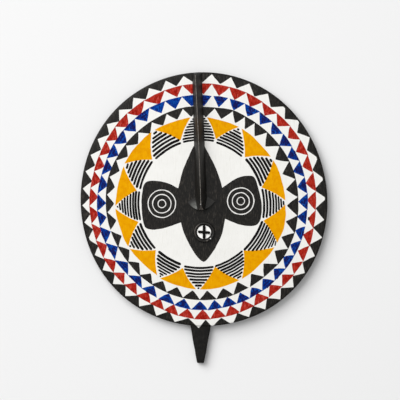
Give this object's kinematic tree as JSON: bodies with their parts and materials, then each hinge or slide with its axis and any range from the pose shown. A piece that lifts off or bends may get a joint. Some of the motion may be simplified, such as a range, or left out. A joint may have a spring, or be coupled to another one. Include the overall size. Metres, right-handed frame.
{
  "type": "sun mask",
  "caption": "Round carved and painted wooden sun mask with a long nose ridge, a small round mouth and a pointed peg below; lies face up on its flat back.",
  "frame": {"origin": "middle of the board's flat back", "axes": "+Z out of the painted face, +Y towards the top of the mask along the nose ridge, +X to the right as the face is seen"},
  "size_m": [0.4718, 0.5569, 0.052],
  "materials": {
    "painted_wood": "black-brown matte paint over carved wood, with a white, red, blue and yellow painted pattern on the face"
  },
  "bodies": {
    "root": {"sun_mask": "painted_wood"}
  },
  "joints": []
}
